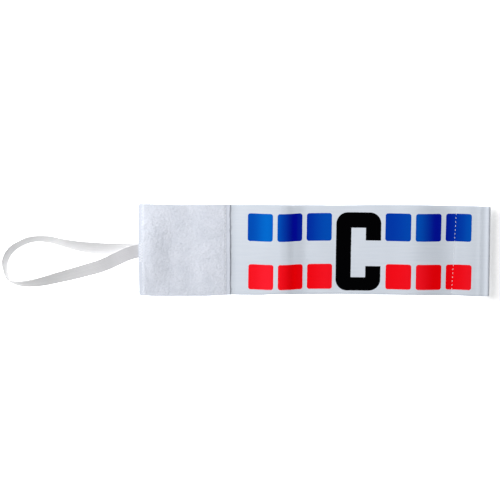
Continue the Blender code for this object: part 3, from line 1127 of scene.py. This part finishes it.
# %% Braided elastic
PICK_PITCH = 0.0009
PICK_DEPTH = 0.00006
YARN_SCALE = (30.0, 900.0, 1.0)
# Along the strap, in metres, where its colour fades into painted shade.
PAINTED_SHADE_FROM, PAINTED_SHADE_TO = 0.215, 0.285
braid, braid_shader = new_material(
    "braided elastic, polyester", "#E6E6E7", roughness=0.65, sheen=0.15, specular=0.4
)
along_braid = add(braid, "ShaderNodeUVMap", uv_map="flat cloth").outputs["UV"]
picks = add(
    braid, "ShaderNodeTexWave",
    {"Scale": wave_scale(PICK_PITCH), "Distortion": 1.5, "Detail": 1.0},
    {"Vector": along_braid}, wave_type="BANDS", bands_direction="X",
)
long_place = add(
    braid, "ShaderNodeVectorMath", {1: YARN_SCALE}, {0: along_braid}, operation="MULTIPLY"
)
yarns = add(
    braid, "ShaderNodeTexNoise", {"Scale": 1.0, "Detail": 3.0}, {"Vector": long_place.outputs[0]},
    noise_dimensions="2D",
)
braid_colour = add(
    braid, "ShaderNodeMix", {MIX_A: linear("#DADADC"), MIX_B: linear("#EBEBEC")},
    {0: yarns.outputs["Fac"]}, data_type="RGBA",
)
station = add(braid, "ShaderNodeSeparateXYZ", feeds={0: along_braid}).outputs["X"]
remapped = add(
    braid, "ShaderNodeMapRange", {"From Min": PAINTED_SHADE_FROM, "From Max": PAINTED_SHADE_TO},
    {"Value": station},
)
# Painted shade: a grey that darkens the front strand where it nears the band.
braid_with_painted_shade = add(
    braid, "ShaderNodeMix", {MIX_B: linear("#C2C2C6")},
    {0: remapped.outputs["Result"], MIX_A: braid_colour.outputs[MIX_RESULT]}, data_type="RGBA",
)
braid_bump = add(
    braid, "ShaderNodeBump", {"Strength": 1.0, "Distance": PICK_DEPTH},
    {"Height": picks.outputs["Fac"]},
)
braid.node_tree.links.new(braid_with_painted_shade.outputs[MIX_RESULT], braid_shader.inputs["Base Color"])
braid.node_tree.links.new(braid_bump.outputs["Normal"], braid_shader.inputs["Normal"])
print("braid nodes:", len(braid.node_tree.nodes))

# %% The ribbed strap
STRAP_RIBS = 9
CELLS_A_RIB = 4
GROOVE_SHARE = 0.70


def place_strap(column, side):
    centre, width = strap_places[column]
    rib = abs(math.sin(math.pi * STRAP_RIBS * (side + 1) / 2))
    share = GROOVE_SHARE + (1 - GROOVE_SHARE) * math.sqrt(rib)
    flat_place = (strap_length * column / (len(strap_places) - 1), side * STRAP_WIDTH / 2)
    return centre + width * (side * STRAP_WIDTH / 2), flat_place, share


ribbed_strap = sheet_of_cloth(
    "ribbed_strap", len(strap_places) - 1, STRAP_RIBS * CELLS_A_RIB, place_strap, STRAP_WALL,
    [braid], rounding=0.25,
)
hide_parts("elastic_loop")

# %% [markdown]
# ## The stitches
#
# Every seam is white polyester thread. What shows of a stitch is a short bead that is pulled into
# the cloth at both ends, so a small sphere, stretched along the seam, has its shape. The hem has
# one slanted line of them, which shows best where it crosses the print. The fleece has a line at
# each woven edge, and a bar tack, a dense zigzag, holds the strap's two ends at the left. The
# thread is drawn about twice as thick as real sewing thread, because finer stitches would not
# show.

# %% Beads of thread
THREAD_HALF = 0.00020
UNSEWN = 0.004
polyester, _ = new_material("polyester sewing thread", "#EDEEF2", roughness=0.5, sheen=0.2)


def bead_matrix(start, end):
    """The place of a bead from start to end."""
    along = end - start
    side = Vector((0, 0, 1)).cross(along).normalized()
    up = along.cross(side).normalized()
    turn = Matrix((along / 2, side * THREAD_HALF, up * THREAD_HALF)).transposed().to_4x4()
    return Matrix.Translation((start + end) / 2) @ turn


def sewn(name, ends):
    """A seam: one bead for each pair of ends."""
    bm = bmesh.new()
    for start, end in ends:
        bmesh.ops.create_uvsphere(
            bm, u_segments=8, v_segments=6, radius=1.0, matrix=bead_matrix(start, end)
        )
    seam = object_from(bm, name, [polyester])
    seam.data.shade_smooth()
    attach(seam, "root")
    print(name, "stitches:", len(ends))
    return seam


# %% The hem's seam
HEM_STITCH = 0.0037
HEM_STITCH_SHARE = 0.56
HEM_SHARE_WANDER = 0.04
HEM_WANDER = 0.00012
HEM_BEAD_LIFT = 0.00010


def band_top(x, y):
    return band_underside(x) + BAND_WALL + sewn_relief(x, y)


hem_ends = []
hem_count = int((BAND_WIDTH - UNSEWN) / HEM_STITCH)
for i in range(hem_count):
    y = band_middle(SEAM_TOP_X) + (i - hem_count / 2) * HEM_STITCH
    share = HEM_STITCH_SHARE + draw.uniform(-HEM_SHARE_WANDER, HEM_SHARE_WANDER)
    pair = []
    for end_y in (y, y + HEM_STITCH * share):
        x = seam_x(end_y) + draw.uniform(-HEM_WANDER, HEM_WANDER)
        pair.append(Vector((x, end_y, band_top(x, end_y) + HEM_BEAD_LIFT)))
    hem_ends.append(pair)
hem_seam = sewn("hem_seam", hem_ends)

# %% The fleece's two seams
FLEECE_STITCH = 0.0030
FLEECE_STITCH_SHARE = 0.6
FLEECE_SEAMS_AT = (BAND_LEFT + 0.0034, BAND_LEFT + FLEECE_LENGTH - 0.0040)
FLEECE_WANDER = 0.0001
FLEECE_BEAD_LIFT = 0.00002
fleece_ends = []
fleece_count = int((BAND_WIDTH - UNSEWN) / FLEECE_STITCH)
for seam_at in FLEECE_SEAMS_AT:
    for i in range(fleece_count):
        y = band_middle(seam_at) + (i - fleece_count / 2) * FLEECE_STITCH
        pair = []
        for end_y in (y, y + FLEECE_STITCH * FLEECE_STITCH_SHARE):
            x = seam_at + draw.uniform(-FLEECE_WANDER, FLEECE_WANDER)
            pair.append(Vector((x, end_y, fleece_top(x, end_y) + FLEECE_BEAD_LIFT)))
        fleece_ends.append(pair)
fleece_seams = sewn("fleece_seams", fleece_ends)

# %% The bar tack
TACK_FROM, TACK_TO = -0.0115, 0.0070
TACK_STEP = 0.00125
TACK_OUTER, TACK_INNER = 0.0006, 0.0042
TACK_WANDER = 0.0002
TACK_BEAD_LIFT = 0.00004
corners = []
for i in range(round((TACK_TO - TACK_FROM) / TACK_STEP) + 1):
    turn_x = TACK_OUTER if i % 2 else TACK_INNER
    x = BAND_LEFT + turn_x + draw.uniform(-TACK_WANDER, TACK_WANDER)
    y = TACK_FROM + i * TACK_STEP
    corners.append(Vector((x, y, fleece_top(x, y) + TACK_BEAD_LIFT)))
bar_tack = sewn("bar_tack", list(zip(corners, corners[1:])))
